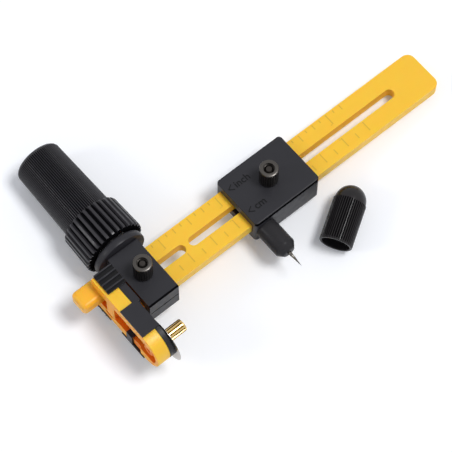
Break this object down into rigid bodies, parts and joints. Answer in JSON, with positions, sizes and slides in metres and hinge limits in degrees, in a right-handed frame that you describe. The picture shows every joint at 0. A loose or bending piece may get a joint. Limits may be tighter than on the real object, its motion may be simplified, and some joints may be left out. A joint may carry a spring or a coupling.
{
  "type": "circle cutter",
  "caption": "Compass circle cutter with a slotted yellow arm, ratchet handle, rotary blade head with sliding guard, sliding needle and a loose needle cap",
  "frame": {"origin": "on the needle's axis, where its barrel leaves the slider's front face", "axes": "+X along the arm away from the blade, +Y towards the grip and against the needle's point, +Z out of the printed face of the arm"},
  "size_m": [0.1521, 0.0954, 0.0267],
  "materials": {
    "yellow_plastic": "smooth moulded yellow plastic",
    "black_plastic": "finely textured black plastic",
    "steel": "plain steel",
    "brass": "knurled brass"
  },
  "bodies": {
    "arm": {"arm": "yellow_plastic", "head_frame": "yellow_plastic", "axle_bolt": "steel", "blade_washer": "steel", "button_spring": "steel"},
    "block": {"block_upper": "black_plastic", "block_lower": "black_plastic", "block_screws": "steel", "block_stud": "steel", "spindle": "black_plastic", "ratchet_wheel": "steel", "spindle_washer": "steel", "spindle_screw": "steel"},
    "block_nut": {"block_nut": "black_plastic"},
    "handle": {"collar": "black_plastic", "grip": "black_plastic", "pawl_ring": "steel"},
    "slider": {"slider_body": "black_plastic", "slider_cover": "black_plastic", "slider_screws": "steel", "slider_stud": "steel", "needle_holder": "black_plastic", "needle": "steel"},
    "slider_nut": {"slider_nut": "black_plastic"},
    "guard": {"guard": "black_plastic"},
    "blade": {"blade": "steel"},
    "blade_nut": {"blade_nut": "brass"},
    "lock_button": {"lock_button": "yellow_plastic"},
    "cap": {"needle_cap": "black_plastic"}
  },
  "joints": [
    {"name": "slider_slide", "type": "slide", "parent": "arm", "child": "slider", "axis": [1, 0, 0], "range_m": [-0.0337, 0.0563]},
    {"name": "slider_nut_turn", "type": "hinge", "parent": "slider", "child": "slider_nut", "pos_m": [0.0103, 0.01095, 0.0072], "axis": [0, 0, 1], "continuous": true},
    {"name": "block_slide", "type": "slide", "parent": "arm", "child": "block", "axis": [1, 0, 0], "range_m": [0, 0.0164]},
    {"name": "block_nut_turn", "type": "hinge", "parent": "block", "child": "block_nut", "pos_m": [-0.04555, 0.01095, 0.0072], "axis": [0, 0, 1], "continuous": true},
    {"name": "handle_turn", "type": "hinge", "parent": "block", "child": "handle", "pos_m": [-0.04555, 0.02655, 0.00095], "axis": [0, 1, 0], "continuous": true},
    {"name": "guard_slide", "type": "slide", "parent": "arm", "child": "guard", "axis": [0, -1, 0], "range_m": [0, 0.004]},
    {"name": "blade_spin", "type": "hinge", "parent": "arm", "child": "blade", "pos_m": [-0.0537, -0.01025, 0.00095], "axis": [1, 0, 0], "continuous": true},
    {"name": "blade_nut_turn", "type": "hinge", "parent": "arm", "child": "blade_nut", "pos_m": [-0.0496, -0.01025, 0.00095], "axis": [1, 0, 0], "continuous": true},
    {"name": "button_press", "type": "slide", "parent": "arm", "child": "lock_button", "axis": [1, 0, 0], "range_m": [0, 0.0015], "stiffness_N_per_m": 200, "deforming": ["button_spring"]},
    {"name": "cap_pull", "type": "slide", "parent": "slider", "child": "cap", "axis": [-0.8498, -0.5129, -0.1218], "range_m": [0, 0.02]}
  ]
}
